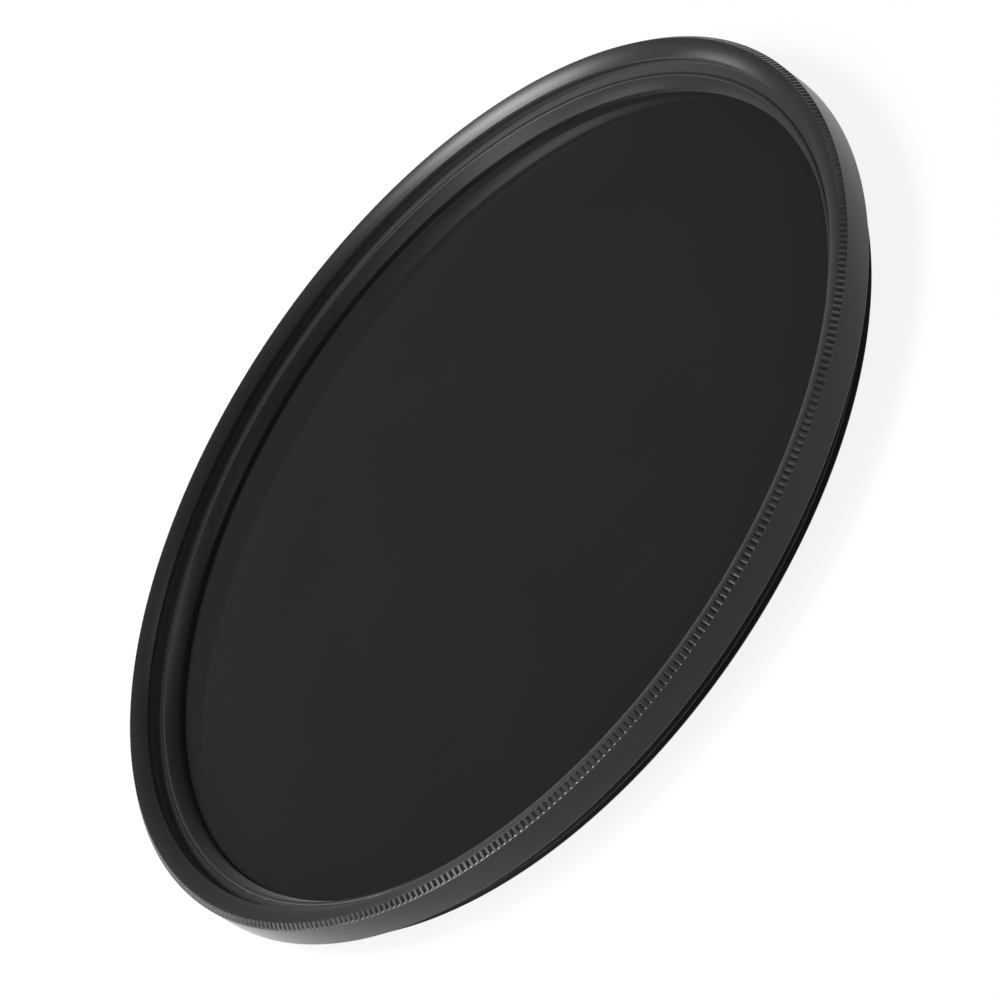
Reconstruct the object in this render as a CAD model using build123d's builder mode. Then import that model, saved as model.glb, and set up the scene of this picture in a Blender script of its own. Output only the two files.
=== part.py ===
from build123d import *
import os

# Infrared filter for a 77 mm lens front. Millimetres, +Z is the optical axis towards the front.
# The origin is the middle of the rear end, where the filter rests when it lies down.

# Both M77 x 0.75 threads, as plain cylinders at their crests
thread_radius = 38.5         # nominal
male_allowance = 0.05        # rear thread: crests inside the nominal radius
female_height = 0.4          # front thread: crests inside the nominal radius

# Frame ring, outside
wall_overhang = 1.5          # smooth side wall beyond the nominal thread radius
male_length = 2.15           # rear end to the shoulder that meets the lens
male_lead = 0.25             # bevel where the rear thread starts
shoulder_break = 0.1         # small bevel round the shoulder

# Toothed bevel round the front edge
bevel_height = 0.5
bevel_inset = 0.42           # radial, over the height of the bevel
bevel_land = 0.03            # narrow step between the side wall and the tooth crests
tooth_count = 432
tooth_depth = 0.2            # radial, crest to root

# Frame ring, inside
rim_width = 0.85             # flat front rim, from the tooth crests inwards
front_depth = 1.6            # front rim down to the floor of the front thread
floor_width = 0.75           # that floor, from the thread crests in to the bore
ledge_width = 1.15           # rear lip that carries the glass, from the bore inwards
ledge_height = 0.5
aperture_bevel = 0.15        # rear edge of the clear opening

# Glass
glass_clearance = 0.1        # radial gap to the bore
glass_thickness = 1.5
glass_bevel = 0.15

# Retaining ring
ring_clearance = 0.05        # radial gap to the bore
ring_height = 1.5            # from the glass up to the floor of the front thread
ring_face_width = 0.3        # flat front face
ring_cone_width = 0.6        # radial width of the conical inner face
ring_land = 0.45             # straight inner wall between the cone and the glass

outer_radius = thread_radius + wall_overhang
male_radius = thread_radius - male_allowance
female_radius = thread_radius - female_height
bore_radius = female_radius - floor_width
aperture_radius = bore_radius - ledge_width
ring_radius = bore_radius - ring_clearance
ring_mouth_radius = ring_radius - ring_face_width
ring_throat_radius = ring_mouth_radius - ring_cone_width

glass_top = ledge_height + glass_thickness
female_floor = glass_top + ring_height
overall_height = female_floor + front_depth
bevel_base = overall_height - bevel_height
base_crest = outer_radius - bevel_land
top_crest = base_crest - bevel_inset
rim_inner = top_crest - rim_width
lead_in = rim_inner - female_radius
tooth_angle = 360 / tooth_count


def toothed_outline(crest_radius):
    """Crest and root points in turn, once round the axis."""
    root_radius = crest_radius - tooth_depth
    points = []
    for tooth in range(tooth_count):
        crest_angle = tooth * tooth_angle
        root_angle = crest_angle + tooth_angle / 2
        points.append(Vector(crest_radius, 0).rotate(Axis.Z, crest_angle))
        points.append(Vector(root_radius, 0).rotate(Axis.Z, root_angle))
    return points


with BuildPart() as frame_ring:
    # Turned outside: rear thread, shoulder and side wall
    with BuildSketch(Plane.XZ):
        with BuildLine():
            Polyline(
                (0, 0),
                (male_radius - male_lead, 0),
                (male_radius, male_lead),
                (male_radius, male_length),
                (outer_radius - shoulder_break, male_length),
                (outer_radius, male_length + shoulder_break),
                (outer_radius, bevel_base),
                (0, bevel_base),
                close=True,
            )
        make_face()
    revolve(axis=Axis.Z)

    # Toothed bevel: straight V teeth that run up the slope
    with BuildSketch(Plane.XY.offset(bevel_base)):
        with BuildLine():
            Polyline(*toothed_outline(base_crest), close=True)
        make_face()
    with BuildSketch(Plane.XY.offset(overall_height)):
        with BuildLine():
            Polyline(*toothed_outline(top_crest), close=True)
        make_face()
    loft(ruled=True)

    # Turned inside: rear opening, ledge, bore, front thread and its lead-in bevel
    with BuildSketch(Plane.XZ):
        with BuildLine():
            Polyline(
                (0, 0),
                (aperture_radius + aperture_bevel, 0),
                (aperture_radius, aperture_bevel),
                (aperture_radius, ledge_height),
                (bore_radius, ledge_height),
                (bore_radius, female_floor),
                (female_radius, female_floor),
                (female_radius, overall_height - lead_in),
                (rim_inner, overall_height),
                (0, overall_height),
                close=True,
            )
        make_face()
    revolve(axis=Axis.Z, mode=Mode.SUBTRACT)

# Glass disc: lies on the ledge
with BuildPart() as filter_glass:
    with BuildSketch(Plane.XY.offset(ledge_height)):
        Circle(bore_radius - glass_clearance)
    extrude(amount=glass_thickness)
    chamfer(filter_glass.edges().filter_by(GeomType.CIRCLE), glass_bevel)

# Retaining ring: sits on the glass, its front face level with the floor of the front thread
with BuildPart() as retaining_ring:
    with BuildSketch(Plane.XZ):
        with BuildLine():
            Polyline(
                (ring_throat_radius, glass_top),
                (ring_radius, glass_top),
                (ring_radius, female_floor),
                (ring_mouth_radius, female_floor),
                (ring_throat_radius, glass_top + ring_land),
                close=True,
            )
        make_face()
    revolve(axis=Axis.Z)

frame_ring.part.label = "frame_ring"
filter_glass.part.label = "filter_glass"
retaining_ring.part.label = "retaining_ring"

export_step(frame_ring.part, "parts/frame_ring.step")
export_step(filter_glass.part, "parts/filter_glass.step")
export_step(retaining_ring.part, "parts/retaining_ring.step")
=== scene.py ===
import math

import bmesh
import bpy
from mathutils import Matrix, Vector


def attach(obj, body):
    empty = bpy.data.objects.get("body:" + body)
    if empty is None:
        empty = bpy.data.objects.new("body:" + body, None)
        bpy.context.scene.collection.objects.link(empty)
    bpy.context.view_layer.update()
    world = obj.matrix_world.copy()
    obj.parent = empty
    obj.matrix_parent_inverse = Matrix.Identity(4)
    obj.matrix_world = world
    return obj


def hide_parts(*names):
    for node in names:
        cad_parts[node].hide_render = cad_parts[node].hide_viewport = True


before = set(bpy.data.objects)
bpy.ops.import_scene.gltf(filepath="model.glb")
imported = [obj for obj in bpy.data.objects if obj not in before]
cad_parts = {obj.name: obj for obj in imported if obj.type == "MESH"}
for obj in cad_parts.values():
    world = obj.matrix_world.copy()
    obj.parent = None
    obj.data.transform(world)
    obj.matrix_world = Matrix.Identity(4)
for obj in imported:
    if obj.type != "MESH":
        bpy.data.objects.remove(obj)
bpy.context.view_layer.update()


# --- Frame ring ---
# The body of the filter: a thin ring turned from aluminium bar, blasted to a satin grain and
# anodised black. It has a plain side wall, a toothed bevel round the front edge, a screw thread
# on the outside at the rear for the lens and one on the inside at the front for the next filter.

MM = 0.001

wall_radius = 39.985
front_height = 5.1
shoulder_height = 2.15
rear_crest_radius = 38.45
front_crest_radius = 38.1
front_floor_height = 3.5
glass_seat_radius = 37.35
ledge_height = 0.5
opening_radius = 36.2
bevel_base_height = 4.6
bevel_base_radius = 39.97
rim_outer_radius = 39.55
rim_land = 0.05                    # left flat between the teeth and the curve of the rim
rim_curve = 2.58                   # radius of the curve in which the rim falls inwards
rim_first_tilt = 6                 # degrees, at the land

tooth_count = 432
tooth_depth = 0.2
columns = tooth_count * 3          # two columns on each tooth, one in each groove

thread_pitch = 0.75
rear_thread_depth = 0.42
rear_thread_start = 0.25
rear_thread_end = 1.95
front_thread_depth = 0.26
front_thread_start = 3.6
front_thread_end = 4.5
thread_run_out = 0.15

well_radius = 38.56                # inside this radius and below this height the dye is denser
well_top = 4.46
dye_blend = 0.06                   # width over which one dye goes over into the next


def linear(hex_colour):
    """An sRGB hex colour as linear red, green, blue and alpha."""
    parts = [int(hex_colour[i:i + 2], 16) / 255 for i in (1, 3, 5)]
    return [c / 12.92 if c <= 0.04045 else ((c + 0.055) / 1.055) ** 2.4 for c in parts] + [1.0]


def add(tree, kind, values={}, links={}, **settings):
    """Adds one node with its settings, its socket values and the sockets that feed it."""
    node = tree.nodes.new(kind)
    for name, value in settings.items():
        setattr(node, name, value)
    for name, value in values.items():
        node.inputs[name].default_value = value
    for name, source in links.items():
        tree.links.new(source, node.inputs[name])
    return node


def section(corners):
    """Radius and height of each row of a turned face; a corner with a break is rounded off by it."""
    rows = []
    for i, (radius, height, *rest) in enumerate(corners):
        here = Vector((radius, height))
        if not rest:
            rows.append(here)
            continue
        before = (Vector(corners[i - 1][:2]) - here).normalized() * rest[0]
        after = (Vector(corners[i + 1][:2]) - here).normalized() * rest[0]
        rows += [here + before, here + (before + after) * 0.29, here + after]
    return rows


def turn(mesh, strips, steps, closed=False, teeth={}):
    """Turns strips of rows round Z. Teeth gives, for the number of a row, how deep it is cut."""
    shape = bmesh.new()
    mark = shape.verts.layers.float.new("toothed")
    count = 0
    for rows in strips:
        rings = []
        for row in rows:
            ring = []
            for step in range(steps):
                angle = (step + 0.5) * 2 * math.pi / steps
                point = Vector((math.cos(angle), math.sin(angle), 0)) * row[0]
                point.z = row[1]
                vert = shape.verts.new(point * MM)
                vert[mark] = teeth.get(count, 0.0)
                ring.append(vert)
            rings.append(ring)
            count += 1
        if closed:
            rings.append(rings[0])
        for low, high in zip(rings, rings[1:]):
            for step in range(steps):
                after = (step + 1) % steps
                shape.faces.new((low[step], low[after], high[after], high[step]))
    shape.to_mesh(mesh)
    shape.free()


def finish_turned(mesh):
    """Closes the seams, points every face outwards and keeps the turned edges crisp."""
    shape = bmesh.new()
    shape.from_mesh(mesh)
    bmesh.ops.remove_doubles(shape, verts=shape.verts, dist=1e-7)
    bmesh.ops.recalc_face_normals(shape, faces=shape.faces)
    shape.to_mesh(mesh)
    shape.free()
    mesh.shade_smooth()
    mesh.set_sharp_from_angle(angle=math.radians(32))


# Blasted and anodised aluminium: a dark, dense satin that is nearly black when looked at squarely
# and turns pale grey towards the edges, where it mirrors the room. The lathe leaves rings too
# fine to see, 0.05 mm apart, which are drawn here 0.12 mm apart. They run round the axis and draw
# each light out across them, so it shows as a short bright stretch of the rim.
anodised = bpy.data.materials.new("anodised_aluminium_satin_black")
anodised.use_nodes = True
shader = anodised.node_tree
shader.nodes.clear()
place = add(shader, "ShaderNodeTexCoord")
apart = add(shader, "ShaderNodeSeparateXYZ", links={0: place.outputs["Object"]})
flat = add(shader, "ShaderNodeCombineXYZ", links={0: apart.outputs[0], 1: apart.outputs[1]})
radius = add(shader, "ShaderNodeVectorMath", operation="LENGTH", links={0: flat.outputs[0]})
rings_at = add(shader, "ShaderNodeCombineXYZ", links={0: radius.outputs["Value"], 1: apart.outputs[2]})
rings = add(shader, "ShaderNodeTexNoise", values={"Scale": 1 / (0.12 * MM), "Detail": 1.0},
            links={"Vector": rings_at.outputs[0]})
grain = add(shader, "ShaderNodeTexNoise", values={"Scale": 1 / (0.15 * MM), "Detail": 2.0},
            links={"Vector": place.outputs["Object"]})
cloud = add(shader, "ShaderNodeTexNoise", values={"Scale": 1 / (9 * MM), "Detail": 3.0},
            links={"Vector": place.outputs["Object"]})
dye = add(shader, "ShaderNodeMix", data_type="RGBA", values={6: linear("#2a2b2b"), 7: linear("#2f3131")},
          links={0: cloud.outputs["Fac"]})
# Inside, where stray light must not glance off, the dye is denser and the face is duller. The
# teeth get a paler base colour, a painted highlight that makes their shine brighter.
inner = add(shader, "ShaderNodeMapRange",
            values={"From Min": (well_radius + dye_blend) * MM, "From Max": well_radius * MM},
            links={"Value": radius.outputs["Value"]})
low = add(shader, "ShaderNodeMapRange",
          values={"From Min": (well_top + dye_blend) * MM, "From Max": well_top * MM},
          links={"Value": apart.outputs[2]})
not_rear = add(shader, "ShaderNodeMapRange", values={"From Min": 0.1 * MM, "From Max": 0.2 * MM},
               links={"Value": apart.outputs[2]})
inner_low = add(shader, "ShaderNodeMath", operation="MULTIPLY",
                links={0: inner.outputs[0], 1: low.outputs[0]})
well = add(shader, "ShaderNodeMath", operation="MULTIPLY",
           links={0: inner_low.outputs[0], 1: not_rear.outputs[0]})
dense = add(shader, "ShaderNodeMix", data_type="RGBA", values={7: linear("#282929")},
            links={0: well.outputs[0], 6: dye.outputs[2]})
# Painted highlight: the toothed bevel above the wall is given the paler #454646 to brighten its shine.
above_wall = add(shader, "ShaderNodeMapRange",
                 values={"From Min": (bevel_base_height - 0.04) * MM,
                         "From Max": bevel_base_height * MM},
                 links={"Value": apart.outputs[2]})
outer = add(shader, "ShaderNodeMapRange",
            values={"From Min": (rim_outer_radius - 0.05) * MM,
                    "From Max": (rim_outer_radius + 0.05) * MM},
            links={"Value": radius.outputs["Value"]})
teeth_painted_highlight_mask = add(shader, "ShaderNodeMath", operation="MULTIPLY",
           links={0: above_wall.outputs[0], 1: outer.outputs[0]})
bright = add(shader, "ShaderNodeMix", data_type="RGBA", values={7: linear("#454646")},
             links={0: teeth_painted_highlight_mask.outputs[0], 6: dense.outputs[2]})
satin = add(shader, "ShaderNodeMapRange", values={"To Min": 0.30, "To Max": 0.37},
            links={"Value": grain.outputs["Fac"]})
duller = add(shader, "ShaderNodeMath", operation="MULTIPLY_ADD", values={1: 0.38},
             links={0: well.outputs[0], 2: satin.outputs[0]})
less_metal = add(shader, "ShaderNodeMath", operation="MULTIPLY_ADD", values={1: -0.35, 2: 0.6},
                 links={0: well.outputs[0]})
round_about = add(shader, "ShaderNodeTangent", direction_type="RADIAL", axis="Z")
lathe_marks = add(shader, "ShaderNodeBump", values={"Strength": 0.25, "Distance": 0.01 * MM},
                  links={"Height": rings.outputs["Fac"]})
blast_marks = add(shader, "ShaderNodeBump", values={"Strength": 0.3, "Distance": 0.01 * MM},
                  links={"Height": grain.outputs["Fac"], "Normal": lathe_marks.outputs[0]})
surface = add(shader, "ShaderNodeBsdfPrincipled",
              values={"Specular IOR Level": 0.35, "Sheen Weight": 0.22, "Sheen Roughness": 0.35,
                      "Anisotropic": 0.75, "Anisotropic Rotation": 0.25},
              links={"Base Color": bright.outputs[2], "Metallic": less_metal.outputs[0],
                     "Roughness": duller.outputs[0],
                     "Normal": blast_marks.outputs[0], "Tangent": round_about.outputs[0]})
add(shader, "ShaderNodeOutputMaterial", links={"Surface": surface.outputs[0]})

inside_rows = section([
    (front_crest_radius, front_thread_start),
    (front_crest_radius, front_floor_height, 0.05),
    (glass_seat_radius, front_floor_height, 0.04),
    (glass_seat_radius, ledge_height),
    (opening_radius, ledge_height, 0.05),
    (opening_radius, 0.15, 0.03),
    (opening_radius + 0.15, 0, 0.03),
    (rear_crest_radius - 0.25, 0, 0.04),
    (rear_crest_radius, rear_thread_start),
])
outside_rows = section([
    (rear_crest_radius, rear_thread_end),
    (rear_crest_radius, shoulder_height),
    (wall_radius - 0.1, shoulder_height, 0.04),
    (wall_radius, shoulder_height + 0.1, 0.04),
    (wall_radius, bevel_base_height - 0.03),
    (wall_radius - 0.005, bevel_base_height),
])
first_tooth_row = len(inside_rows) + len(outside_rows)
# How deep each row of the bevel is cut, from its foot up: in full, then fading out at the rim.
tooth_cuts = {0: 0.6, 0.04: 1, 0.35: 1, 0.65: 1, 0.88: 0.6, 1: 0.1}
bevel_foot = Vector((bevel_base_radius, bevel_base_height))
rim_edge = Vector((rim_outer_radius, front_height))
tooth_rows = [bevel_foot.lerp(rim_edge, share) for share in tooth_cuts]
rim_tilts = [math.radians(rim_first_tilt * step) for step in (1, 2, 3, 4, 5, 6)]
rim_rows = [Vector((rim_outer_radius - rim_land - rim_curve * (math.sin(tilt) - math.sin(rim_tilts[0])),
                    front_height - rim_curve * (math.cos(rim_tilts[0]) - math.cos(tilt))))
            for tilt in rim_tilts] + [Vector((front_crest_radius, front_thread_end))]
blank = bpy.data.objects.new("frame_ring_blank", bpy.data.meshes.new("frame_ring_blank"))
bpy.context.scene.collection.objects.link(blank)
turn(blank.data, [inside_rows, outside_rows + tooth_rows + rim_rows], columns,
     teeth=dict(enumerate(tooth_cuts.values(), first_tooth_row)))

# The screw thread: a band of rows that climb one pitch in each turn, eight rows to a pitch.
# Rows that would leave the band stop at its ends, and the merging afterwards closes the seam.
thread = bpy.data.node_groups.new("screw thread", "GeometryNodeTree")
thread.interface.new_socket("Thread", in_out="OUTPUT", socket_type="NodeSocketGeometry")
thread.interface.new_socket("Columns", in_out="INPUT", socket_type="NodeSocketInt")
for name in ("Crest Radius", "Depth", "Pitch", "Start", "End", "Run-out"):
    thread.interface.new_socket(name, in_out="INPUT", socket_type="NodeSocketFloat")
given = add(thread, "NodeGroupInput").outputs
length = add(thread, "ShaderNodeMath", operation="SUBTRACT", links={0: given["End"], 1: given["Start"]})
turns = add(thread, "ShaderNodeMath", operation="DIVIDE",
            links={0: length.outputs[0], 1: given["Pitch"]})
eighths = add(thread, "ShaderNodeMath", operation="MULTIPLY", values={1: 8.0},
              links={0: turns.outputs[0]})
whole = add(thread, "ShaderNodeMath", operation="CEIL", links={0: eighths.outputs[0]})
last_row = add(thread, "ShaderNodeMath", operation="ADD", values={1: 8.0}, links={0: whole.outputs[0]})
row_count = add(thread, "ShaderNodeMath", operation="ADD", values={1: 1.0},
                links={0: last_row.outputs[0]})
line_count = add(thread, "ShaderNodeMath", operation="ADD", values={1: 1.0}, links={0: given["Columns"]})
sheet = add(thread, "GeometryNodeMeshGrid", values={"Size X": 1.0, "Size Y": 1.0},
            links={"Vertices X": line_count.outputs[0], "Vertices Y": row_count.outputs[0]})
spot = add(thread, "GeometryNodeInputPosition")
along = add(thread, "ShaderNodeSeparateXYZ", links={0: spot.outputs[0]})
turned = add(thread, "ShaderNodeMath", operation="ADD", values={1: 0.5}, links={0: along.outputs[0]})
up_share = add(thread, "ShaderNodeMath", operation="ADD", values={1: 0.5}, links={0: along.outputs[1]})
row_exact = add(thread, "ShaderNodeMath", operation="MULTIPLY",
                links={0: up_share.outputs[0], 1: last_row.outputs[0]})
row = add(thread, "ShaderNodeMath", operation="ROUND", links={0: row_exact.outputs[0]})
row_turns = add(thread, "ShaderNodeMath", operation="DIVIDE", values={1: 8.0}, links={0: row.outputs[0]})
climbed = add(thread, "ShaderNodeMath", operation="ADD",
              links={0: row_turns.outputs[0], 1: turned.outputs[0]})
from_start = add(thread, "ShaderNodeMath", operation="SUBTRACT", values={1: 1.0},
                 links={0: climbed.outputs[0]})
rise = add(thread, "ShaderNodeMath", operation="MULTIPLY_ADD",
           links={0: from_start.outputs[0], 1: given["Pitch"], 2: given["Start"]})
above_start = add(thread, "ShaderNodeMath", operation="MAXIMUM",
                  links={0: rise.outputs[0], 1: given["Start"]})
height = add(thread, "ShaderNodeMath", operation="MINIMUM",
             links={0: above_start.outputs[0], 1: given["End"]})
row_middle = add(thread, "ShaderNodeMath", operation="ADD", values={1: 1 / 16},
                 links={0: row_turns.outputs[0]})
phase = add(thread, "ShaderNodeMath", operation="FRACT", links={0: row_middle.outputs[0]})
folded = add(thread, "ShaderNodeMath", operation="MULTIPLY_ADD", values={1: 2.0, 2: -1.0},
             links={0: phase.outputs[0]})
slope = add(thread, "ShaderNodeMath", operation="ABSOLUTE", links={0: folded.outputs[0]})
groove = add(thread, "ShaderNodeMath", operation="MULTIPLY_ADD", use_clamp=True,
             values={1: -2.0, 2: 1.5},
             links={0: slope.outputs[0]})
below = add(thread, "ShaderNodeMath", operation="SUBTRACT",
            links={0: height.outputs[0], 1: given["Start"]})
above = add(thread, "ShaderNodeMath", operation="SUBTRACT",
            links={0: given["End"], 1: height.outputs[0]})
to_end = add(thread, "ShaderNodeMath", operation="MINIMUM",
             links={0: below.outputs[0], 1: above.outputs[0]})
fade = add(thread, "ShaderNodeMath", operation="DIVIDE", use_clamp=True,
           links={0: to_end.outputs[0], 1: given["Run-out"]})
share = add(thread, "ShaderNodeMath", operation="MULTIPLY",
            links={0: groove.outputs[0], 1: fade.outputs[0]})
cut_radius = add(thread, "ShaderNodeMath", operation="MULTIPLY_ADD",
                 links={0: share.outputs[0], 1: given["Depth"], 2: given["Crest Radius"]})
half_column = add(thread, "ShaderNodeMath", operation="DIVIDE", values={0: 0.5},
                  links={1: given["Columns"]})
full_turn = add(thread, "ShaderNodeMath", operation="ADD",
                links={0: turned.outputs[0], 1: half_column.outputs[0]})
angle = add(thread, "ShaderNodeMath", operation="MULTIPLY", values={1: 2 * math.pi},
            links={0: full_turn.outputs[0]})
across = add(thread, "ShaderNodeMath", operation="COSINE", links={0: angle.outputs[0]})
deep = add(thread, "ShaderNodeMath", operation="SINE", links={0: angle.outputs[0]})
way = add(thread, "ShaderNodeCombineXYZ", links={0: across.outputs[0], 1: deep.outputs[0]})
reach = add(thread, "ShaderNodeVectorMath", operation="SCALE",
            links={0: way.outputs[0], "Scale": cut_radius.outputs[0]})
lifted = add(thread, "ShaderNodeCombineXYZ", links={2: height.outputs[0]})
spot_on_thread = add(thread, "ShaderNodeVectorMath", operation="ADD",
                     links={0: reach.outputs[0], 1: lifted.outputs[0]})
wound = add(thread, "GeometryNodeSetPosition",
            links={"Geometry": sheet.outputs["Mesh"], "Position": spot_on_thread.outputs[0]})
add(thread, "NodeGroupOutput", links={0: wound.outputs[0]})

# The cutting of the blank: V grooves between the teeth of the bevel, then both threads.
cutting = bpy.data.node_groups.new("ring cutting", "GeometryNodeTree")
cutting.interface.new_socket("Ring", in_out="OUTPUT", socket_type="NodeSocketGeometry")
cutting.interface.new_socket("Blank", in_out="INPUT", socket_type="NodeSocketGeometry")
sizes = {"Tooth Depth": tooth_depth * MM, "Thread Pitch": thread_pitch * MM,
         "Run-out": thread_run_out * MM,
         "Rear Crest Radius": rear_crest_radius * MM, "Rear Depth": -rear_thread_depth * MM,
         "Rear Start": rear_thread_start * MM, "Rear End": rear_thread_end * MM,
         "Front Crest Radius": front_crest_radius * MM, "Front Depth": front_thread_depth * MM,
         "Front Start": front_thread_start * MM, "Front End": front_thread_end * MM}
counts = {"Tooth Count": tooth_count, "Columns": columns}
for name in sizes:
    cutting.interface.new_socket(name, in_out="INPUT", socket_type="NodeSocketFloat")
for name in counts:
    cutting.interface.new_socket(name, in_out="INPUT", socket_type="NodeSocketInt")
cutting.interface.new_socket("Finish", in_out="INPUT", socket_type="NodeSocketMaterial")
given = add(cutting, "NodeGroupInput").outputs
spot = add(cutting, "GeometryNodeInputPosition")
along = add(cutting, "ShaderNodeSeparateXYZ", links={0: spot.outputs[0]})
angle = add(cutting, "ShaderNodeMath", operation="ARCTAN2",
            links={0: along.outputs[1], 1: along.outputs[0]})
turned = add(cutting, "ShaderNodeMath", operation="DIVIDE", values={1: 2 * math.pi},
             links={0: angle.outputs[0]})
teeth_passed = add(cutting, "ShaderNodeMath", operation="MULTIPLY",
                   links={0: turned.outputs[0], 1: given["Tooth Count"]})
phase = add(cutting, "ShaderNodeMath", operation="FRACT", links={0: teeth_passed.outputs[0]})
off_middle = add(cutting, "ShaderNodeMath", operation="SUBTRACT", values={1: 0.5},
                 links={0: phase.outputs[0]})
distance = add(cutting, "ShaderNodeMath", operation="ABSOLUTE", links={0: off_middle.outputs[0]})
groove = add(cutting, "ShaderNodeMath", operation="MULTIPLY_ADD", use_clamp=True,
             values={1: -3.0, 2: 1.0},
             links={0: distance.outputs[0]})
toothed = add(cutting, "GeometryNodeInputNamedAttribute", data_type="FLOAT", values={"Name": "toothed"})
here = add(cutting, "ShaderNodeMath", operation="MULTIPLY",
           links={0: groove.outputs[0], 1: toothed.outputs[0]})
cut = add(cutting, "ShaderNodeMath", operation="MULTIPLY",
          links={0: here.outputs[0], 1: given["Tooth Depth"]})
inwards = add(cutting, "ShaderNodeMath", operation="MULTIPLY", values={1: -1.0},
              links={0: cut.outputs[0]})
level = add(cutting, "ShaderNodeCombineXYZ", links={0: along.outputs[0], 1: along.outputs[1]})
way = add(cutting, "ShaderNodeVectorMath", operation="NORMALIZE", links={0: level.outputs[0]})
shift = add(cutting, "ShaderNodeVectorMath", operation="SCALE",
            links={0: way.outputs[0], "Scale": inwards.outputs[0]})
toothed_blank = add(cutting, "GeometryNodeSetPosition",
                    links={"Geometry": given["Blank"], "Offset": shift.outputs[0]})
bands = [add(cutting, "GeometryNodeGroup", node_tree=thread,
             links={"Columns": given["Columns"], "Pitch": given["Thread Pitch"],
                    "Run-out": given["Run-out"],
                    "Crest Radius": given[end + " Crest Radius"], "Depth": given[end + " Depth"],
                    "Start": given[end + " Start"], "End": given[end + " End"]})
         for end in ("Rear", "Front")]
joined = add(cutting, "GeometryNodeJoinGeometry")
for part in (toothed_blank, *bands):
    cutting.links.new(part.outputs[0], joined.inputs[0])
merged = add(cutting, "GeometryNodeMergeByDistance", values={"Distance": 0.002 * MM},
             links={"Geometry": joined.outputs[0]})
real = add(cutting, "GeometryNodeRealizeInstances", links={"Geometry": merged.outputs[0]})
dressed = add(cutting, "GeometryNodeSetMaterial",
              links={"Geometry": real.outputs[0], "Material": given["Finish"]})
add(cutting, "NodeGroupOutput", links={0: dressed.outputs[0]})

lathe = blank.modifiers.new("ring cutting", "NODES")
lathe.node_group = cutting
for socket in cutting.interface.items_tree:
    if socket.in_out == "INPUT" and socket.name in {**sizes, **counts}:
        lathe[socket.identifier] = {**sizes, **counts}[socket.name]
    if socket.in_out == "INPUT" and socket.name == "Finish":
        lathe[socket.identifier] = anodised
cut_blank = blank.evaluated_get(bpy.context.evaluated_depsgraph_get())
ring_mesh = bpy.data.meshes.new_from_object(cut_blank, depsgraph=bpy.context.evaluated_depsgraph_get())
bpy.data.objects.remove(blank)
finish_turned(ring_mesh)
turned_ring = bpy.data.objects.new("turned_frame_ring", ring_mesh)
bpy.context.scene.collection.objects.link(turned_ring)
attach(turned_ring, "root")
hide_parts("frame_ring")


# --- Filter glass ---
# A flat disc of dyed optical glass, 1.5 mm thick, ground round, bevelled and polished. It lets
# infrared through and looks black to the eye. It lies loose on the ledge of the ring.

glass_radius = 37.25
glass_bottom = 0.5
glass_top = 2.0
glass_bevel = 0.15

# Polished dyed glass with a coating: a deep, even black with a faint cool mirror of the room.
# Its fine dust and wipe marks are wide and so faint that they only take the edge off the gloss.
coated = bpy.data.materials.new("optical_glass_black_polished")
coated.use_nodes = True
shader = coated.node_tree
shader.nodes.clear()
place = add(shader, "ShaderNodeTexCoord")
haze = add(shader, "ShaderNodeTexNoise", values={"Scale": 1 / (14 * MM), "Detail": 4.0},
           links={"Vector": place.outputs["Object"]})
depth = add(shader, "ShaderNodeMix", data_type="RGBA",
            values={6: linear("#1d1f1e"), 7: linear("#212322")},
            links={0: haze.outputs["Fac"]})
gloss = add(shader, "ShaderNodeMapRange", values={"To Min": 0.05, "To Max": 0.09},
            links={"Value": haze.outputs["Fac"]})
surface = add(shader, "ShaderNodeBsdfPrincipled", values={"IOR": 1.52, "Specular IOR Level": 0.05},
              links={"Base Color": depth.outputs[2], "Roughness": gloss.outputs[0]})
add(shader, "ShaderNodeOutputMaterial", links={"Surface": surface.outputs[0]})

disc = bpy.data.objects.new("polished_glass_disc", bpy.data.meshes.new("polished_glass_disc"))
bpy.context.scene.collection.objects.link(disc)
turn(disc.data, [section([
    (0, glass_bottom),
    (12, glass_bottom),
    (24, glass_bottom),
    (glass_radius - glass_bevel, glass_bottom, 0.02),
    (glass_radius, glass_bottom + glass_bevel, 0.02),
    (glass_radius, glass_top - glass_bevel, 0.02),
    (glass_radius - glass_bevel, glass_top, 0.02),
    (24, glass_top),
    (12, glass_top),
    (0, glass_top),
])], 432)
finish_turned(disc.data)
disc.data.materials.append(coated)
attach(disc, "root")
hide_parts("filter_glass")


# --- Retaining ring ---
# A thin turned ring, anodised with the frame, that is screwed in on top of the glass and holds
# it down. Its cone-shaped inner face leads the eye from the front thread down to the glass.

ring_radius = 37.3
ring_bottom = 2.0
ring_top = 3.5
ring_mouth_radius = 37.0
ring_throat_radius = 36.4
ring_land_top = 2.45

# Aluminium anodised a flat black, as inside the frame: a dull face that gives back little light.
flat_black = bpy.data.materials.new("anodised_aluminium_flat_black")
flat_black.use_nodes = True
shader = flat_black.node_tree
shader.nodes.clear()
place = add(shader, "ShaderNodeTexCoord")
apart = add(shader, "ShaderNodeSeparateXYZ", links={0: place.outputs["Object"]})
flat = add(shader, "ShaderNodeCombineXYZ", links={0: apart.outputs[0], 1: apart.outputs[1]})
radius = add(shader, "ShaderNodeVectorMath", operation="LENGTH", links={0: flat.outputs[0]})
rings_at = add(shader, "ShaderNodeCombineXYZ", links={0: radius.outputs["Value"], 1: apart.outputs[2]})
rings = add(shader, "ShaderNodeTexNoise", values={"Scale": 1 / (0.12 * MM), "Detail": 1.0},
            links={"Vector": rings_at.outputs[0]})
cloud = add(shader, "ShaderNodeTexNoise", values={"Scale": 1 / (9 * MM), "Detail": 3.0},
            links={"Vector": place.outputs["Object"]})
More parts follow.
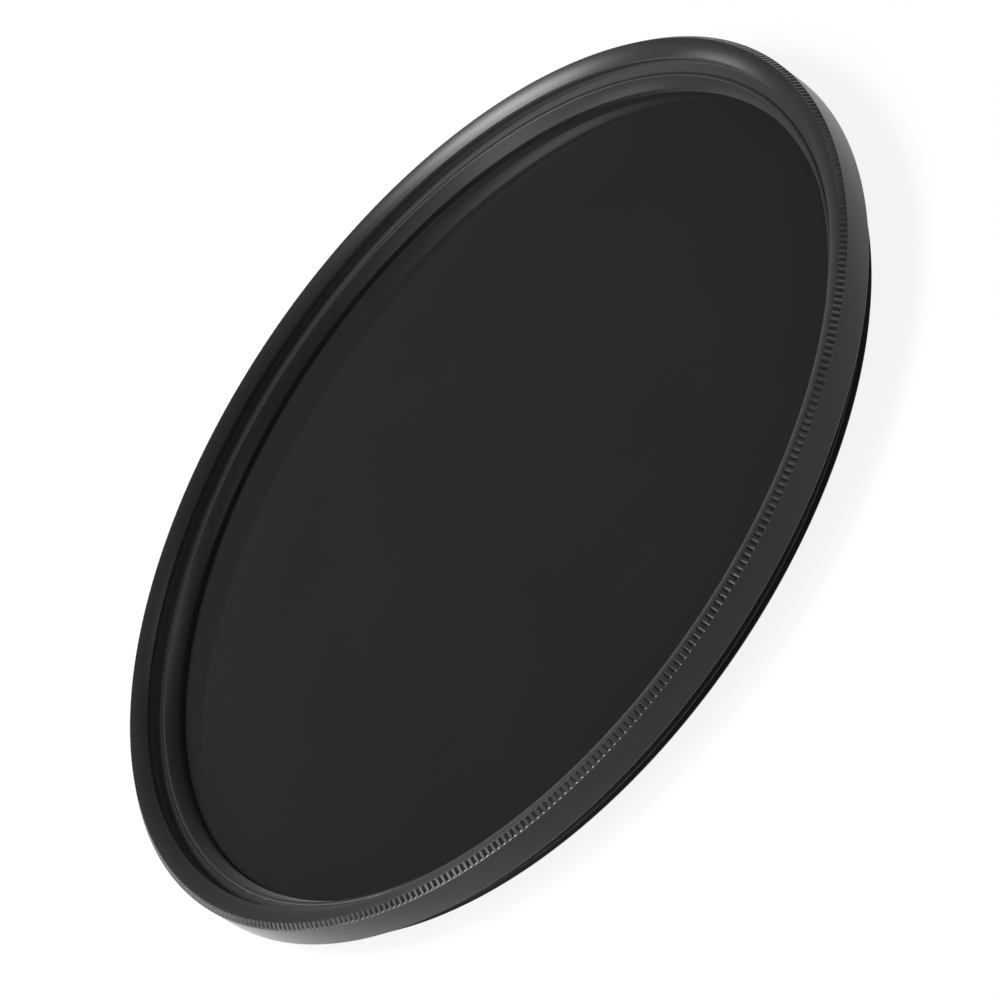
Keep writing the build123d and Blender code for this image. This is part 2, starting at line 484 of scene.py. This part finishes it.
dye = add(shader, "ShaderNodeMix", data_type="RGBA", values={6: linear("#232424"), 7: linear("#272828")},
          links={0: cloud.outputs["Fac"]})
satin = add(shader, "ShaderNodeMapRange", values={"To Min": 0.32, "To Max": 0.40},
            links={"Value": rings.outputs["Fac"]})
lathe_marks = add(shader, "ShaderNodeBump", values={"Strength": 0.25, "Distance": 0.01 * MM},
                  links={"Height": rings.outputs["Fac"]})
surface = add(shader, "ShaderNodeBsdfPrincipled",
              values={"Metallic": 0.3, "Specular IOR Level": 0.35, "Sheen Weight": 0.2,
                      "Sheen Roughness": 0.35},
              links={"Base Color": dye.outputs[2], "Roughness": satin.outputs[0],
                     "Normal": lathe_marks.outputs[0]})
add(shader, "ShaderNodeOutputMaterial", links={"Surface": surface.outputs[0]})

holder = bpy.data.objects.new("turned_retaining_ring", bpy.data.meshes.new("turned_retaining_ring"))
bpy.context.scene.collection.objects.link(holder)
turn(holder.data, [section([
    (ring_throat_radius, ring_bottom),
    (ring_radius, ring_bottom),
    (ring_radius, ring_top, 0.04),
    (ring_mouth_radius, ring_top, 0.04),
    (ring_throat_radius, ring_land_top, 0.06),
    (ring_throat_radius, ring_bottom + 0.02),
])], 864, closed=True)
finish_turned(holder.data)
holder.data.materials.append(flat_black)
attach(holder, "root")
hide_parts("retaining_ring")


# --- Floor, light and camera ---
# The filter lies on its rear end on a plain white table. Most of the light falls from high on the
# left and from behind, and weak soft boxes fill the front and the right. The camera looks down at
# 31 degrees and is rolled, so the disc stands slantwise in the picture.

table_half_width = 2.5
camera_distance = 0.4
camera_tilt = math.radians(31.244)
camera_roll = math.radians(-55.985)
picture_shift = (-0.951, -0.070)   # the point the camera looks at, in mm right and up

table_mesh = bpy.data.meshes.new("white_table")
table = bpy.data.objects.new("white_table", table_mesh)
bpy.context.scene.collection.objects.link(table)
shape = bmesh.new()
bmesh.ops.create_grid(shape, x_segments=8, y_segments=8, size=table_half_width)
shape.to_mesh(table_mesh)
shape.free()
paper = bpy.data.materials.new("white_table_paper")
paper.use_nodes = True
shader = paper.node_tree
shader.nodes.clear()
seen = add(shader, "ShaderNodeLightPath")
mirrored = add(shader, "ShaderNodeMath", operation="MAXIMUM",
               links={0: seen.outputs["Is Camera Ray"], 1: seen.outputs["Is Glossy Ray"]})
through = add(shader, "ShaderNodeMath", operation="MAXIMUM",
              links={0: mirrored.outputs[0], 1: seen.outputs["Is Transmission Ray"]})
part_white = add(shader, "ShaderNodeMath", operation="MULTIPLY", values={1: 0.88},
                 links={0: through.outputs[0]})
matt = add(shader, "ShaderNodeBsdfPrincipled",
           values={"Base Color": linear("#eaeaea"), "Roughness": 0.9, "Specular IOR Level": 0.0})
white = add(shader, "ShaderNodeEmission", values={"Color": (1, 1, 1, 1), "Strength": 1.0})
mixed = add(shader, "ShaderNodeMixShader",
            links={0: part_white.outputs[0], 1: matt.outputs[0], 2: white.outputs[0]})
add(shader, "ShaderNodeOutputMaterial", links={"Surface": mixed.outputs[0]})
table_mesh.materials.append(paper)

room = bpy.data.worlds.new("room")
bpy.context.scene.world = room
room.use_nodes = True
room.node_tree.nodes.clear()
air = add(room.node_tree, "ShaderNodeBackground", values={"Color": (1, 1, 1, 1), "Strength": 0.15})
add(room.node_tree, "ShaderNodeOutputWorld", links={"Surface": air.outputs[0]})


def lamp(name, spot, width, tall, power):
    """A soft box that faces the filter."""
    light = bpy.data.lights.new(name, "AREA")
    light.shape, light.size, light.size_y, light.energy = "RECTANGLE", width, tall, power
    holder = bpy.data.objects.new(name, light)
    bpy.context.scene.collection.objects.link(holder)
    holder.location = spot
    holder.rotation_mode = "QUATERNION"
    holder.rotation_quaternion = (-Vector(spot)).to_track_quat("-Z", "Y")


lamp("left_high_lamp", (-0.275, 0.143, 0.457), 0.22, 0.22, 1.4)
lamp("back_high_lamp", (-0.18, 0.253, 0.451), 0.15, 0.15, 2.2)
lamp("back_lamp", (-0.27, 0.49, 0.20), 0.12, 0.12, 0.35)
lamp("left_lamp", (-0.415, -0.022, 0.360), 0.22, 0.22, 0.5)
lamp("left_low_lamp", (-0.506, -0.132, 0.165), 0.22, 0.22, 0.8)
lamp("left_back_lamp", (-0.52, 0.165, 0.050), 0.3, 0.09, 0.5)
lamp("left_front_lamp", (-0.60, -0.75, 0.25), 0.4, 0.4, 1.0)
lamp("right_front_lamp", (0.60, -0.75, 0.25), 0.4, 0.4, 0.6)
lamp("right_high_lamp", (0.755, -0.04, 0.655), 0.4, 0.4, 1.4)

camera_spot = camera_distance * Vector((0, -math.cos(camera_tilt), math.sin(camera_tilt)))
level_up = Vector((0, math.sin(camera_tilt), math.cos(camera_tilt)))
picture_right = math.cos(camera_roll) * Vector((1, 0, 0)) + math.sin(camera_roll) * level_up
picture_up = -math.sin(camera_roll) * Vector((1, 0, 0)) + math.cos(camera_roll) * level_up
target = (picture_shift[0] * picture_right + picture_shift[1] * picture_up) * MM
back = (camera_spot - target).normalized()
side = (picture_right - back * picture_right.dot(back)).normalized()
over = back.cross(side)
lens = bpy.data.cameras.new("camera")
lens.lens, lens.sensor_width = 182.04, 36.0
lens.clip_start, lens.clip_end = 0.01, 10.0
camera = bpy.data.objects.new("camera", lens)
bpy.context.scene.collection.objects.link(camera)
camera.matrix_world = Matrix((
    (side.x, over.x, back.x, camera_spot.x),
    (side.y, over.y, back.y, camera_spot.y),
    (side.z, over.z, back.z, camera_spot.z),
    (0, 0, 0, 1),
))
bpy.context.scene.camera = camera
bpy.context.scene.view_settings.view_transform = "Standard"
